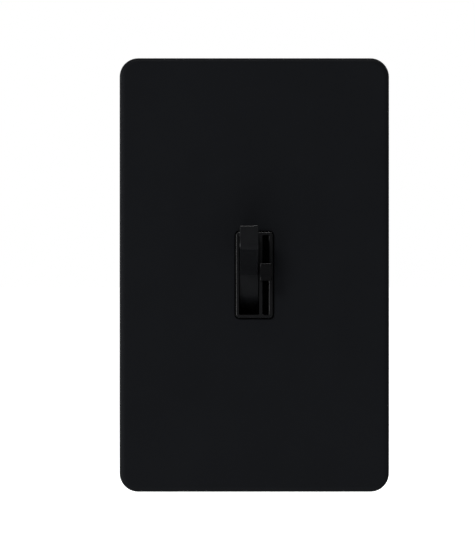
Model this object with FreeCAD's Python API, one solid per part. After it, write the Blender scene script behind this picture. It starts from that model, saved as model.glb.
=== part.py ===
import FreeCAD, Part
import math
import os

from FreeCAD import Vector

# Toggle dimmer with a slide control, under a screwless wall plate.
# Millimetres. X runs to the right, Z up and -Y out of the wall, towards the room.
# Y = 0 is the finished wall, and the origin is midway between the two mounting screws.

# ---- wall plate ------------------------------------------------------------------------------
PLATE_W = 74.0
PLATE_H = 119.1
PLATE_DEPTH = 7.6
PLATE_CORNER_R = 5.1
PLATE_EDGE_R = 1.6
PLATE_FACE_T = 2.0
PLATE_RIM_T = 1.8
OPENING_W = 10.6
OPENING_H = 24.0
OPENING_CORNER_R = 1.1
OPENING_EDGE_R = 0.3
LUG_REACH = 0.9
LUG_LENGTH = 12.0
LUG_DEPTH = 1.2
LUG_GAP = 0.3

# ---- adapter plate ---------------------------------------------------------------------------
ADAPTER_GAP = 0.3
ADAPTER_BASE_T = 1.4
ADAPTER_RIM_T = 1.4
ADAPTER_PAD_T = 0.4
ADAPTER_RIB_T = 1.0
ADAPTER_RIB_H = 1.1
ADAPTER_COVER_GAP = 0.1
ADAPTER_OPENING_GAP = 0.6
ADAPTER_BOSS_R = 4.8
ADAPTER_BOSS_H = 1.2
ADAPTER_HEAD_HOLE_R = 4.9
ADAPTER_TRIM_HOLE_R = 3.2

# ---- yoke ------------------------------------------------------------------------------------
YOKE_T = 1.6
YOKE_SET_BACK = 0.4
YOKE_W = 44.4
YOKE_BODY_MARGIN = 0.6
YOKE_FLANGE_H = 48.0
YOKE_FLANGE_DEPTH = 10.0
YOKE_BEND_R = 2.0
EAR_W = 20.4
YOKE_H = 105.8
WING_W = 34.0
WING_H = 9.4
WING_CORNER_R = 3.4
SCORE_W = 0.8
SCORE_DEPTH = 0.6
GROUND_TAB_H = 8.6
GROUND_TAB_DEPTH = 10.0

# ---- fasteners -------------------------------------------------------------------------------
MOUNT_SPACING = 83.34
PLATE_SCREW_SPACING = 60.32
SCREW_R = 1.75
SCREW_HOLE_GAP = 0.06
SCREW_NECK_STEP = 0.4
MOUNT_SLOT_W = 7.2
MOUNT_SLOT_H = 4.2
MOUNT_SCREW_L = 22.0
MOUNT_HEAD_R = 4.0
MOUNT_HEAD_H = 2.1
NECK_BEHIND_YOKE = 1.8
SLOT_CUT_W = 1.1
SLOT_CUT_DEPTH = 1.2
RETAINER_W = 9.0
RETAINER_T = 0.8
RETAINER_GAP = 0.05
ADAPTER_HEAD_R = 3.5
ADAPTER_HEAD_H = 1.9
HOUSING_SCREW_R = 1.25
HOUSING_HEAD_R = 2.3
HOUSING_HEAD_H = 1.5
HOUSING_HEAD_SUNK = 0.6
HOUSING_HEAD_GAP = 0.3
HOUSING_SCREW_GAP = 0.1
TERMINAL_HEAD_R = 3.4
TERMINAL_HEAD_H = 2.4
GROUND_HEAD_R = 3.1
GROUND_FLANGE_R = 4.0
GROUND_FLANGE_T = 0.7
GROUND_HEAD_H = 2.8
GROUND_SHANK_L = 5.6

# ---- bezel and its two apertures ---------------------------------------------------------------
BEZEL_GAP = 0.25
BEZEL_PROUD = 1.1
BEZEL_CORNER_R = 0.9
BEZEL_EDGE_R = 0.28
BEZEL_FLANGE_W = 14.4
BEZEL_FLANGE_H = 32.0
BEZEL_FLANGE_T = 1.4
BEZEL_END_T = 0.85
APERTURE_CORNER_R = 0.35
SLOT_EDGE_R = 0.25
SLOT_W = 1.72
SLOT_X = 3.1
YOKE_WINDOW_GAP = 0.3
CHEEK_HALF_H = 3.0
CHEEK_BEHIND_PIVOT = 2.6
BEZEL_LEG = 2.0

# ---- toggle lever ------------------------------------------------------------------------------
TOGGLE_W = 5.12
TOGGLE_X = -1.48
TOGGLE_SIDE_GAP = 0.25
TOGGLE_ANGLE = 24.0
DRUM_END_GAP = 0.25
DRUM_RECESS = 0.5
DRUM_CUT = 2.2
LEVER_REACH = 25.5
LEVER_TIP_HALF = 3.31
LEVER_TAPER = 0.0633
LEVER_TOP_R = 0.4
LEVER_UNDER_R = 1.4
LEVER_EDGE_R = 0.3
LEVER_STRIP_W = 1.1
LEVER_STRIP_PROUD = 0.1
HUB_R = 3.3
TRUNNION_R = 1.5
TRUNNION_GAP = 0.06
TRUNNION_END_GAP = 0.4
TAIL_R = 2.2
TAIL_REACH = 4.4

# ---- spring and rocking contact ----------------------------------------------------------------
SPRING_R = 1.1
SPRING_WIRE_R = 0.18
SPRING_START = 2.7
SPRING_END_GAP = 0.2
SPRING_TURNS = 6
SPRING_POCKET_GAP = 0.2
ROCKER_BEHIND_PIVOT = 7.7
ROCKER_TILT = 8.0
ROCKER_W = 3.6
ROCKER_HALF_L = 8.2
ROCKER_T = 0.8
ROCKER_PIN_R = 0.6
ROCKER_PIN_GAP = 0.06
CONTACT_Z = 7.0
CONTACT_R = 1.2
CONTACT_T = 0.7
CONTACT_GAP = 0.15
FIXED_CONTACT_T = 0.6
CRADLE_T = 0.6
CRADLE_SIDE_GAP = 0.15
CRADLE_HALF_H = 2.2
TRAVELLER_T = 0.4
TRAVELLER_L = 4.4

# ---- slide control -----------------------------------------------------------------------------
KNOB_SIDE_GAP = 0.42
KNOB_H = 4.76
KNOB_PROUD = 5.6
KNOB_FACE_GAP = 0.15
KNOB_EDGE_R = 0.3
KNOB_SCOOP_R = 4.2
KNOB_SCOOP_DEPTH = 0.28
KNOB_SOCKET_DEPTH = 3.4
KNOB_SOCKET_GAP = 0.04
STEM_H = 3.2
SLIDER_REST = 0.84
STEM_GAP = 0.14
STEM_END_GAP = 0.15
CARRIAGE_T = 1.6
CARRIAGE_H = 6.0
CARRIAGE_GAP = 0.2
FORK_GAP = 0.1
POT_W = 6.4
POT_H = 31.0
POT_D = 6.0
POT_SHELL_T = 0.5
POT_SIDE_GAP = 0.3
POT_END_GAP = 0.4
WIPER_W = 1.2
WIPER_H = 2.6
WIPER_SLOT_GAP = 0.3
WIPER_BLOCK_W = 4.6
WIPER_BLOCK_H = 4.0
WIPER_TRACK_GAP = 0.15
WIPER_SHELL_GAP = 0.2
TRACK_T = 0.8

# ---- housing and circuit board -----------------------------------------------------------------
HOUSING_SIDE_GAP = 0.4
HOUSING_H = 56.0
HOUSING_BACK_GAP = 0.6
HOUSING_T = 1.8
HOUSING_CORNER_R = 3.0
HOUSING_EDGE_R = 1.4
LABEL_W = 22.0
LABEL_H = 34.0
LABEL_DEPTH = 0.3
GAUGE_W = 2.4
GAUGE_H = 12.0
GAUGE_DEPTH = 0.6
GAUGE_FROM_SIDE = 5.2
BOSS_R = 2.8
BOSS_INSET_X = 5.0
BOSS_INSET_Z = 3.4
BOARD_GAP = 0.3
BOARD_T = 1.6
POCKET_DEPTH = 5.7
POCKET_HALF_H = 5.2
POCKET_WALL = 1.2
TERMINAL_BEHIND_BOARD = 1.5
TERMINAL_PLATE_T = 1.0
TERMINAL_PLATE_HALF = 3.9
CLAMP_T = 1.0
CLAMP_HALF = 3.7
TERMINAL_TAIL_HALF = 1.5
TERMINAL_TAIL_T = 0.8
TERMINAL_TAIL_REACH = 2.6
TERMINAL_TAIL_GAP = 0.1

# ---- power parts -------------------------------------------------------------------------------
TRIAC_SIDE_GAP = 0.2
TRIAC_Z = 14.0
TRIAC_W = 10.0
TRIAC_BODY_H = 9.2
TRIAC_BODY_D = 4.4
TRIAC_TAB_T = 1.3
TRIAC_TAB_H = 15.2
TRIAC_RIVET_R = 1.5
TRIAC_PAD_T = 0.3
TRIAC_PAD_MARGIN = 0.2
TRIAC_LEAD = 0.8
TRIAC_LEAD_PITCH = 2.54
CHOKE_X = -3.0
CHOKE_Z = -13.0
CHOKE_CORE_R = 8.4
CHOKE_HOLE_R = 4.6
CHOKE_CORE_H = 6.0
CHOKE_WIRE = 1.2
CHOKE_TURNS = 20
CHOKE_WIRE_GAP = 0.05
FILM_CAP = (13.0, 9.6, 6.0)
FILM_CAP_AT = (-4.5, 6.5)
FILM_CAP_EDGE_R = 0.6
ROUND_CAP_R = 4.0
ROUND_CAP_H = 9.6
ROUND_CAP_AT = (7.6, 14.5)
RESISTOR_R = 1.2
RESISTOR_L = 6.4
RESISTOR_LEAD_R = 0.3
RESISTOR_PITCH = 3.4
RESISTOR_AT = (8.6, -1.6)
DIAC_R = 0.95
DIAC_L = 3.8
DIAC_AT = (-2.0, 18.0)
TRIM_AT = (-13.2, -3.6)
TRIM_BASE = 7.0
TRIM_BASE_D = 5.0
TRIM_SHAFT_R = 2.0
TRIM_HOLE_GAP = 0.3
TRIM_FLANGE_R = 2.9
TRIM_FLANGE_T = 1.0
TRIM_SLOT_W = 0.8

# ---- places worked out from the sizes above ------------------------------------------------------
PLATE_FRONT = -PLATE_DEPTH
PLATE_INSIDE = PLATE_FRONT + PLATE_FACE_T
YOKE_BACK = -YOKE_SET_BACK
YOKE_FRONT = YOKE_BACK - YOKE_T
YOKE_BODY_H = HOUSING_H + 2 * YOKE_BODY_MARGIN
ADAPTER_BACK = YOKE_FRONT - ADAPTER_PAD_T
ADAPTER_BASE = ADAPTER_BACK - ADAPTER_BASE_T
SCREW_NECK_R = SCREW_R - SCREW_NECK_STEP
BEZEL_W = OPENING_W - 2 * BEZEL_GAP
BEZEL_H = OPENING_H - 2 * BEZEL_GAP
BEZEL_FACE = PLATE_FRONT - BEZEL_PROUD
FLANGE_BACK = YOKE_BACK + BEZEL_FLANGE_T
APERTURE_H = BEZEL_H - 2 * BEZEL_END_T
TOGGLE_SLOT_W = TOGGLE_W + 2 * TOGGLE_SIDE_GAP
DIVIDER_LEFT = TOGGLE_X + TOGGLE_SLOT_W / 2
DIVIDER_RIGHT = SLOT_X - SLOT_W / 2
DRUM_R = APERTURE_H / 2 - DRUM_END_GAP
PIVOT_Y = BEZEL_FACE + DRUM_RECESS + DRUM_R
TRUNNION_L = DIVIDER_RIGHT - TRUNNION_END_GAP - (TOGGLE_X + TOGGLE_W / 2)
ROCKER_Y = PIVOT_Y + ROCKER_BEHIND_PIVOT
SPRING_END = ROCKER_BEHIND_PIVOT - ROCKER_T / 2 - SPRING_END_GAP
KNOB_W = 2 * (SLOT_X - KNOB_SIDE_GAP - (TOGGLE_X + TOGGLE_W / 2))
SLIDER_TRAVEL = APERTURE_H - STEM_H - 2 * STEM_END_GAP
ROCKER_LEAN = math.radians(ROCKER_TILT)
BUTTON_BACK = ROCKER_T / 2 + CONTACT_T
DEEPEST_BUTTON = BUTTON_BACK * math.cos(ROCKER_LEAN) + (CONTACT_Z + CONTACT_R) * math.sin(ROCKER_LEAN)
FIXED_CONTACT_FRONT = ROCKER_Y + DEEPEST_BUTTON + CONTACT_GAP
BOARD_FRONT = FIXED_CONTACT_FRONT + FIXED_CONTACT_T + TRAVELLER_T
BOARD_BACK = BOARD_FRONT + BOARD_T
HOUSING_X = YOKE_W / 2 - YOKE_T - HOUSING_SIDE_GAP
HOUSING_Z = HOUSING_H / 2
HOUSING_INSIDE = BOARD_BACK + max(FILM_CAP[1], ROUND_CAP_H) + HOUSING_BACK_GAP
HOUSING_BACK = HOUSING_INSIDE + HOUSING_T
BOSS_X = HOUSING_X - BOSS_INSET_X
BOSS_Z = HOUSING_Z - BOSS_INSET_Z
POCKET_FLOOR = HOUSING_X - POCKET_DEPTH
POT_X = POCKET_FLOOR - POCKET_WALL - POT_SIDE_GAP - POT_W / 2
TERMINAL_Y = BOARD_FRONT + TERMINAL_BEHIND_BOARD
TERMINAL_TAIL_OFFSET = TERMINAL_PLATE_HALF - TERMINAL_TAIL_HALF
TERMINAL_Z = POT_H / 2 + POT_END_GAP + TERMINAL_TAIL_HALF - TERMINAL_TAIL_OFFSET
TERMINALS = ((-1, TERMINAL_Z), (-1, -TERMINAL_Z), (1, -TERMINAL_Z))
TRIAC_X = -(HOUSING_X - HOUSING_T - TRIAC_SIDE_GAP - TRIAC_PAD_MARGIN - TRIAC_W / 2)
HOUSING_CORNERS = [(sx * BOSS_X, sz * BOSS_Z) for sx in (-1, 1) for sz in (-1, 1)]
AXES = {"x": Vector(1, 0, 0), "y": Vector(0, 1, 0), "z": Vector(0, 0, 1)}


# ---- building blocks -----------------------------------------------------------------------------
def box(x0, x1, y0, y1, z0, z1):
    return Part.makeBox(x1 - x0, y1 - y0, z1 - z0, Vector(x0, y0, z0))


def rod(axis, radius, start, end, at):
    """A cylinder along an axis, from start to end. at gives the other two coordinates, in X, Y, Z order."""
    place = {"x": (start, *at), "y": (at[0], start, at[1]), "z": (*at, start)}[axis]
    return Part.makeCylinder(radius, end - start, Vector(*place), AXES[axis])


def cone(axis, radius_start, radius_end, start, end, at):
    place = {"x": (start, *at), "y": (at[0], start, at[1]), "z": (*at, start)}[axis]
    return Part.makeCone(radius_start, radius_end, end - start, Vector(*place), AXES[axis])


def edges_where(shape, test):
    """The edges whose ends and middle all pass the test."""
    found = []
    for edge in shape.Edges:
        middle = edge.valueAt((edge.FirstParameter + edge.LastParameter) / 2)
        if all(test(p) for p in [v.Point for v in edge.Vertexes] + [middle]):
            found.append(edge)
    return found


def fillet_where(shape, radius, test):
    return shape.makeFillet(radius, edges_where(shape, test))


def same(a, b):
    return abs(a - b) < 1e-4


def parallel_edges(shape, axis):
    """The straight edges along one axis."""
    found = []
    for edge in shape.Edges:
        if len(edge.Vertexes) == 2:
            run = edge.Vertexes[1].Point - edge.Vertexes[0].Point
            if run.cross(AXES[axis]).Length < 1e-6 * run.Length:
                found.append(edge)
    return found


def slab(width, height, corner_r, y0, y1, x=0.0, z=0.0):
    """A rounded rectangle, seen from the front, between two depths."""
    blank = box(x - width / 2, x + width / 2, y0, y1, z - height / 2, z + height / 2)
    return blank.makeFillet(corner_r, parallel_edges(blank, "y"))


def obround(width, height, y0, y1, x, z):
    """A slot with round ends that runs along X."""
    reach = (width - height) / 2
    middle = box(x - reach, x + reach, y0, y1, z - height / 2, z + height / 2)
    ends = [rod("y", height / 2, y0, y1, (x + side * reach, z)) for side in (-1, 1)]
    return middle.fuse(ends).removeSplitter()


def ring(axis, outer_r, inner_r, start, end, at):
    return rod(axis, outer_r, start, end, at).cut(rod(axis, inner_r, start, end, at))


def prism_x(points, x0, x1):
    """A closed outline of (y, z) points, carried along X."""
    corners = [Vector(x0, y, z) for y, z in points]
    face = Part.Face(Part.makePolygon(corners + corners[:1]))
    return face.extrude(Vector(x1 - x0, 0, 0))


def fuse(parts):
    return parts[0].fuse(parts[1:]).removeSplitter()


def mirrored_pair(shape, plane):
    normal = {"x": Vector(1, 0, 0), "z": Vector(0, 0, 1)}[plane]
    return [shape, shape.mirror(Vector(0, 0, 0), normal)]


# ---- wall plate and adapter ----------------------------------------------------------------------
def wall_plate():
    outer = slab(PLATE_W, PLATE_H, PLATE_CORNER_R, PLATE_FRONT, 0)
    outer = fillet_where(outer, PLATE_EDGE_R, lambda p: same(p.y, PLATE_FRONT))
    cavity = slab(
        PLATE_W - 2 * PLATE_RIM_T,
        PLATE_H - 2 * PLATE_RIM_T,
        PLATE_CORNER_R - PLATE_RIM_T,
        PLATE_INSIDE,
        0,
    )
    opening = slab(OPENING_W, OPENING_H, OPENING_CORNER_R, PLATE_FRONT, PLATE_INSIDE)
    shell = outer.cut([cavity, opening])
    shell = fillet_where(
        shell,
        OPENING_EDGE_R,
        lambda p: same(p.y, PLATE_FRONT) and abs(p.x) < OPENING_W and abs(p.z) < OPENING_H,
    )
    return fuse([shell] + plate_lugs())


def plate_lugs():
    """Catches inside the rim that snap behind the adapter plate's edge, two on each side and end."""
    front = ADAPTER_BACK + LUG_GAP
    back = front + LUG_DEPTH
    inner_x = PLATE_W / 2 - PLATE_RIM_T
    inner_z = PLATE_H / 2 - PLATE_RIM_T
    root = PLATE_RIM_T / 2
    lugs = []
    for side in (-1, 1):
        for z in (-PLATE_H / 4, PLATE_H / 4):
            x0, x1 = sorted((side * (inner_x - LUG_REACH), side * (inner_x + root)))
            lugs.append(box(x0, x1, front, back, z - LUG_LENGTH / 2, z + LUG_LENGTH / 2))
        for x in (-PLATE_W / 4, PLATE_W / 4):
            z0, z1 = sorted((side * (inner_z - LUG_REACH), side * (inner_z + root)))
            lugs.append(box(x - LUG_LENGTH / 2, x + LUG_LENGTH / 2, front, back, z0, z1))
    return lugs


def adapter_plate():
    width = PLATE_W - 2 * (PLATE_RIM_T + ADAPTER_GAP)
    height = PLATE_H - 2 * (PLATE_RIM_T + ADAPTER_GAP)
    corner = PLATE_CORNER_R - PLATE_RIM_T - ADAPTER_GAP
    rim_front = PLATE_INSIDE + ADAPTER_COVER_GAP
    rib_front = ADAPTER_BASE - ADAPTER_RIB_H
    open_w = BEZEL_W + 2 * ADAPTER_OPENING_GAP
    open_h = BEZEL_H + 2 * ADAPTER_OPENING_GAP
    tray = slab(width, height, corner, rim_front, ADAPTER_BACK)
    inside = slab(
        width - 2 * ADAPTER_RIM_T,
        height - 2 * ADAPTER_RIM_T,
        corner - ADAPTER_RIM_T,
        rim_front,
        ADAPTER_BASE,
    )
    tray = tray.cut(inside)
    collar = slab(
        open_w + 2 * ADAPTER_RIB_T, open_h + 2 * ADAPTER_RIB_T, 1.5, rib_front, ADAPTER_BASE
    )
    boss_z = PLATE_SCREW_SPACING / 2
    bosses = [
        rod("y", ADAPTER_BOSS_R, ADAPTER_BASE - ADAPTER_BOSS_H, YOKE_FRONT, (0, side * boss_z))
        for side in (-1, 1)
    ]
    body = fuse([tray, collar] + bosses + adapter_ribs(width, height, rib_front) + adapter_pads())
    cuts = [slab(open_w, open_h, 1.0, rib_front, YOKE_FRONT)]
    for side in (-1, 1):
        at = (0, side * boss_z)
        head_front = ADAPTER_BASE - ADAPTER_BOSS_H
        cuts.append(rod("y", SCREW_R + SCREW_HOLE_GAP, head_front, YOKE_FRONT, at))
        cuts.append(adapter_countersink(head_front, at))
        head_hole = (0, side * MOUNT_SPACING / 2)
        cuts.append(rod("y", ADAPTER_HEAD_HOLE_R, rib_front, YOKE_FRONT, head_hole))
    cuts.append(rod("y", ADAPTER_TRIM_HOLE_R, rib_front, YOKE_FRONT, TRIM_AT))
    return body.cut(cuts)


def adapter_countersink(head_front, at):
    wide = ADAPTER_HEAD_R + SCREW_HOLE_GAP
    narrow = SCREW_R + SCREW_HOLE_GAP
    return cone("y", wide, narrow, head_front, head_front + ADAPTER_HEAD_H, at)


def adapter_ribs(width, height, front):
    """Stiffening ribs from the collar out to the rim: two upright ones and a pair on each side."""
    half_t = ADAPTER_RIB_T / 2
    reach_x = width / 2 - ADAPTER_RIM_T / 2
    reach_z = height / 2 - ADAPTER_RIM_T / 2
    near_x = BEZEL_W / 2 + ADAPTER_OPENING_GAP + half_t
    ribs = []
    for side in (-1, 1):
        x0, x1 = sorted((side * near_x, side * reach_x))
        for z in (-BEZEL_H / 2, BEZEL_H / 2):
            ribs.append(box(x0, x1, front, ADAPTER_BASE, z - half_t, z + half_t))
        centre = side * near_x
        ribs.append(box(centre - half_t, centre + half_t, front, ADAPTER_BASE, -reach_z, reach_z))
    return ribs


def adapter_pads():
    """Feet on the back of the adapter that stand on the yoke's ears."""
    half = ADAPTER_BOSS_R
    outer = PLATE_SCREW_SPACING / 2 + ADAPTER_BOSS_R
    pad = box(-EAR_W / 2, EAR_W / 2, ADAPTER_BACK, YOKE_FRONT, outer - half, outer)
    return mirrored_pair(pad, "z")


def adapter_screws():
    screws = []
    for side in (-1, 1):
        at = (0, side * PLATE_SCREW_SPACING / 2)
        front = ADAPTER_BASE - ADAPTER_BOSS_H
        under = front + ADAPTER_HEAD_H
        head = cone("y", ADAPTER_HEAD_R, SCREW_R, front, under, at)
        shank = rod("y", SCREW_R, under, YOKE_BACK, at)
        slot = box(
            -SLOT_CUT_W / 2,
            SLOT_CUT_W / 2,
            front,
            front + ADAPTER_HEAD_H / 2,
            at[1] - ADAPTER_HEAD_R,
            at[1] + ADAPTER_HEAD_R,
        )
        screws.append(fuse([head, shank]).cut(slot))
    return screws


# ---- yoke and its screws -------------------------------------------------------------------------
def yoke():
    channel = box(
        -YOKE_W / 2, YOKE_W / 2, YOKE_FRONT, YOKE_FRONT + YOKE_FLANGE_DEPTH,
        -YOKE_FLANGE_H / 2, YOKE_FLANGE_H / 2,
    )
    bends = [e for e in parallel_edges(channel, "z") if same(e.Vertexes[0].Y, YOKE_FRONT)]
    channel = channel.makeFillet(YOKE_BEND_R, bends)
    inner_x = YOKE_W / 2 - YOKE_T
    hollow = box(
        -inner_x, inner_x, YOKE_BACK, YOKE_FRONT + YOKE_FLANGE_DEPTH,
        -YOKE_FLANGE_H / 2, YOKE_FLANGE_H / 2,
    )
    bends = [e for e in parallel_edges(hollow, "z") if same(e.Vertexes[0].Y, YOKE_BACK)]
    hollow = hollow.makeFillet(YOKE_BEND_R - YOKE_T, bends)
    channel = channel.cut(hollow)
    body = slab(2 * inner_x - 1, YOKE_BODY_H, HOUSING_CORNER_R, YOKE_FRONT, YOKE_BACK)
    ears = slab(EAR_W, YOKE_H, HOUSING_CORNER_R, YOKE_FRONT, YOKE_BACK)
    wings = mirrored_pair(plaster_ears(), "z")
    strap = fuse([channel, body, ears, ground_tab()] + wings)
    return strap.cut(yoke_holes())


def plaster_ears():
    """The upper pair of break-off wings, with a scored line on each side."""
    z = YOKE_H / 2 - WING_H / 2
    wings = slab(WING_W, WING_H, WING_CORNER_R, YOKE_FRONT, YOKE_BACK, 0, z)
    for side in (-1, 1):
        x = side * (EAR_W / 2 + SCORE_W)
        score = box(
            x - SCORE_W / 2, x + SCORE_W / 2, YOKE_FRONT, YOKE_FRONT + SCORE_DEPTH,
            z - WING_H / 2, z + WING_H / 2,
        )
        wings = wings.cut(score)
    return wings


def ground_tab_z():
    """The height of the ground tab's middle, below the yoke's wide body."""
    return -(YOKE_BODY_H / 2 + GROUND_TAB_H / 2 + 0.6)


def ground_tab():
    z = ground_tab_z()
    outer_x = EAR_W / 2
    tab = box(
        outer_x - YOKE_T, outer_x, YOKE_FRONT, YOKE_FRONT + GROUND_TAB_DEPTH,
        z - GROUND_TAB_H / 2, z + GROUND_TAB_H / 2,
    )
    far = YOKE_FRONT + GROUND_TAB_DEPTH
    corners = [e for e in parallel_edges(tab, "x") if same(e.Vertexes[0].Y, far)]
    return tab.makeFillet(2.0, corners)


def ground_screw_y():
    return YOKE_FRONT + GROUND_TAB_DEPTH / 2 + 1.0


def yoke_holes():
    through = (YOKE_FRONT, YOKE_BACK)
    hole_r = SCREW_R + SCREW_HOLE_GAP
    cuts = [
        slab(
            BEZEL_W + 2 * YOKE_WINDOW_GAP, BEZEL_H + 2 * YOKE_WINDOW_GAP,
            BEZEL_CORNER_R, *through,
        ),
        rod("y", TRIM_SHAFT_R + TRIM_HOLE_GAP, *through, TRIM_AT),
        rod("y", TRIAC_RIVET_R + SCREW_HOLE_GAP, *through, triac_hole()),
        rod("x", hole_r, EAR_W / 2 - YOKE_T, EAR_W / 2, (ground_screw_y(), ground_tab_z())),
    ]
    for side in (-1, 1):
        cuts.append(rod("y", hole_r, *through, (0, side * PLATE_SCREW_SPACING / 2)))
        cuts.append(obround(MOUNT_SLOT_W, MOUNT_SLOT_H, *through, 0, side * MOUNT_SPACING / 2))
    for corner in HOUSING_CORNERS:
        cuts.append(rod("y", HOUSING_SCREW_R + SCREW_HOLE_GAP, *through, corner))
    return cuts


def mounting_screws():
    """Two captive screws: a truss head, a thin neck that turns in its washer, and the full shank."""
    screws = []
    for side in (-1, 1):
        at = (0, side * MOUNT_SPACING / 2)
        neck_end = YOKE_BACK + NECK_BEHIND_YOKE
        end = YOKE_FRONT + MOUNT_SCREW_L
        head = truss_head("y", MOUNT_HEAD_R, MOUNT_HEAD_H, YOKE_FRONT, at)
        neck = rod("y", SCREW_NECK_R, YOKE_FRONT, neck_end, at)
        shank = rod("y", SCREW_R, neck_end, end - SCREW_R / 2, at)
        point = cone("y", SCREW_R, SCREW_R / 2, end - SCREW_R / 2, end, at)
        slot = box(
            -MOUNT_HEAD_R, MOUNT_HEAD_R,
            YOKE_FRONT - MOUNT_HEAD_H, YOKE_FRONT - MOUNT_HEAD_H + SLOT_CUT_DEPTH,
            at[1] - SLOT_CUT_W / 2, at[1] + SLOT_CUT_W / 2,
        )
        screws.append(fuse([head, neck, shank, point]).cut(slot))
    return screws


def truss_head(axis, radius, height, seat, at):
    """A low domed head that rises from its seat towards the negative end of the axis."""
    head = rod(axis, radius, seat - height, seat, at)
    round_r = 0.8 * height
    rim = [e for e in head.Edges if len(e.Vertexes) == 1 and e.Curve.TypeId == "Part::GeomCircle"]
    top = min(rim, key=lambda e: e.Curve.Center.dot(AXES[axis]))
    return head.makeFillet(round_r, [top])


def screw_retainers():
    washers = []
    for side in (-1, 1):
        z = side * MOUNT_SPACING / 2
        back = YOKE_BACK + RETAINER_T
        plate = slab(RETAINER_W, RETAINER_W, 1.5, YOKE_BACK, back, 0, z)
        hole = rod("y", SCREW_NECK_R + RETAINER_GAP, YOKE_BACK, back, (0, z))
        washers.append(plate.cut(hole))
    return washers


def ground_screw():
    at = (ground_screw_y(), ground_tab_z())
    seat = EAR_W / 2
    flange = rod("x", GROUND_FLANGE_R, seat, seat + GROUND_FLANGE_T, at)
    head = hexagon_x(GROUND_HEAD_R, seat + GROUND_FLANGE_T, seat + GROUND_HEAD_H, at)
    shank = rod("x", SCREW_R, seat - GROUND_SHANK_L, seat, at)
    slot = box(
        seat + GROUND_HEAD_H - SLOT_CUT_DEPTH, seat + GROUND_HEAD_H,
        at[0] - GROUND_FLANGE_R, at[0] + GROUND_FLANGE_R,
        at[1] - SLOT_CUT_W / 2, at[1] + SLOT_CUT_W / 2,
    )
    return fuse([flange, head, shank]).cut(slot)


def hexagon_x(flat_r, x0, x1, at):
    corner_r = flat_r / math.cos(math.pi / 6)
    points = [
        (at[0] + corner_r * math.cos(k * math.pi / 3), at[1] + corner_r * math.sin(k * math.pi / 3))
        for k in range(6)
    ]
    return prism_x(points, x0, x1)


# ---- bezel ---------------------------------------------------------------------------------------
def bezel():
    """The framed front: a tower through the yoke, a flange behind it, cheeks for the lever and legs."""
    tower = slab(BEZEL_W, BEZEL_H, BEZEL_CORNER_R, BEZEL_FACE, FLANGE_BACK)
    tower = fillet_where(tower, BEZEL_EDGE_R, lambda p: same(p.y, BEZEL_FACE))
    flange = slab(BEZEL_FLANGE_W, BEZEL_FLANGE_H, 1.5, YOKE_BACK, FLANGE_BACK)
    cheek_back = PIVOT_Y + CHEEK_BEHIND_PIVOT
    toggle_left = TOGGLE_X - TOGGLE_SLOT_W / 2
    cheeks = [
        box(-BEZEL_W / 2, toggle_left, YOKE_BACK, cheek_back, -CHEEK_HALF_H, CHEEK_HALF_H),
        box(DIVIDER_LEFT, DIVIDER_RIGHT, YOKE_BACK, cheek_back, -CHEEK_HALF_H, CHEEK_HALF_H),
    ]
    body = fuse([tower, flange] + cheeks + bezel_legs())
    toggle_slot = slab(
        TOGGLE_SLOT_W, APERTURE_H, APERTURE_CORNER_R, BEZEL_FACE, FLANGE_BACK, TOGGLE_X
    )
    slide_slot = slab(SLOT_W, APERTURE_H, APERTURE_CORNER_R, BEZEL_FACE, FLANGE_BACK, SLOT_X)
    bearing = rod("x", TRUNNION_R + TRUNNION_GAP, -BEZEL_W / 2, DIVIDER_RIGHT, (PIVOT_Y, 0))
    body = body.cut([toggle_slot, slide_slot, bearing])
    divider = (DIVIDER_LEFT + DIVIDER_RIGHT) / 2
    inner_x = BEZEL_W / 2 - BEZEL_EDGE_R - SLOT_EDGE_R / 2
    inner_z = BEZEL_H / 2 - BEZEL_EDGE_R - SLOT_EDGE_R / 2
    return fillet_where(
        body,
        SLOT_EDGE_R,
        lambda p: same(p.y, BEZEL_FACE) and divider < p.x < inner_x and abs(p.z) < inner_z,
    )


def bezel_legs():
    """Four legs that hold the circuit board down."""
    legs = []
    outer_z = BEZEL_FLANGE_H / 2 - 0.6
    for x in (-BEZEL_FLANGE_W / 2 + 0.6, POT_X - POT_W / 2 - BEZEL_LEG - 0.4):
        for side in (-1, 1):
            z0, z1 = sorted((side * outer_z, side * (outer_z - BEZEL_LEG)))
            legs.append(box(x, x + BEZEL_LEG, YOKE_BACK, BOARD_FRONT, z0, z1))
    return legs


# ---- toggle lever and switch ---------------------------------------------------------------------
def swing(shape):
    """From the lever's own frame, with its pivot at the origin and its tip along -Y, to its raised place."""
    turned = shape.copy()
    turned.rotate(Vector(0, 0, 0), AXES["x"], -TOGGLE_ANGLE)
    turned.translate(Vector(TOGGLE_X, PIVOT_Y, 0))
    return turned


def lever_half_at(reach):
    """Half the lever's thickness at a distance from the pivot."""
    return LEVER_TIP_HALF + (LEVER_REACH - reach) * LEVER_TAPER


def lever_slice(x0, x1, grow):
    """The lever and its drum between two sides, in the lever's own frame, with the skin moved out by grow."""
    root = lever_half_at(0) + grow
    tip = LEVER_TIP_HALF + grow
    reach = LEVER_REACH + grow
    radius = DRUM_R + grow
    lever = prism_x([(0, -root), (-reach, -tip), (-reach, tip), (0, root)], x0, x1)
    lever = fillet_where(lever, LEVER_TOP_R, lambda p: same(p.y, -reach) and same(p.z, tip))
    lever = fillet_where(lever, LEVER_UNDER_R, lambda p: same(p.y, -reach) and same(p.z, -tip))
    drum = rod("x", radius, x0, x1, (0, 0))
    drum = drum.cut(box(x0, x1, DRUM_CUT, radius, -radius, radius))
    return fuse([lever, drum])


def round_lever_side(body, x):
    """Rounds the outer edges of the lever and drum on one side."""
    return fillet_where(
        body,
        LEVER_EDGE_R,
        lambda p: same(p.x, x) and math.hypot(p.y, p.z) > HUB_R and p.y < DRUM_CUT - 0.1,
    )


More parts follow.
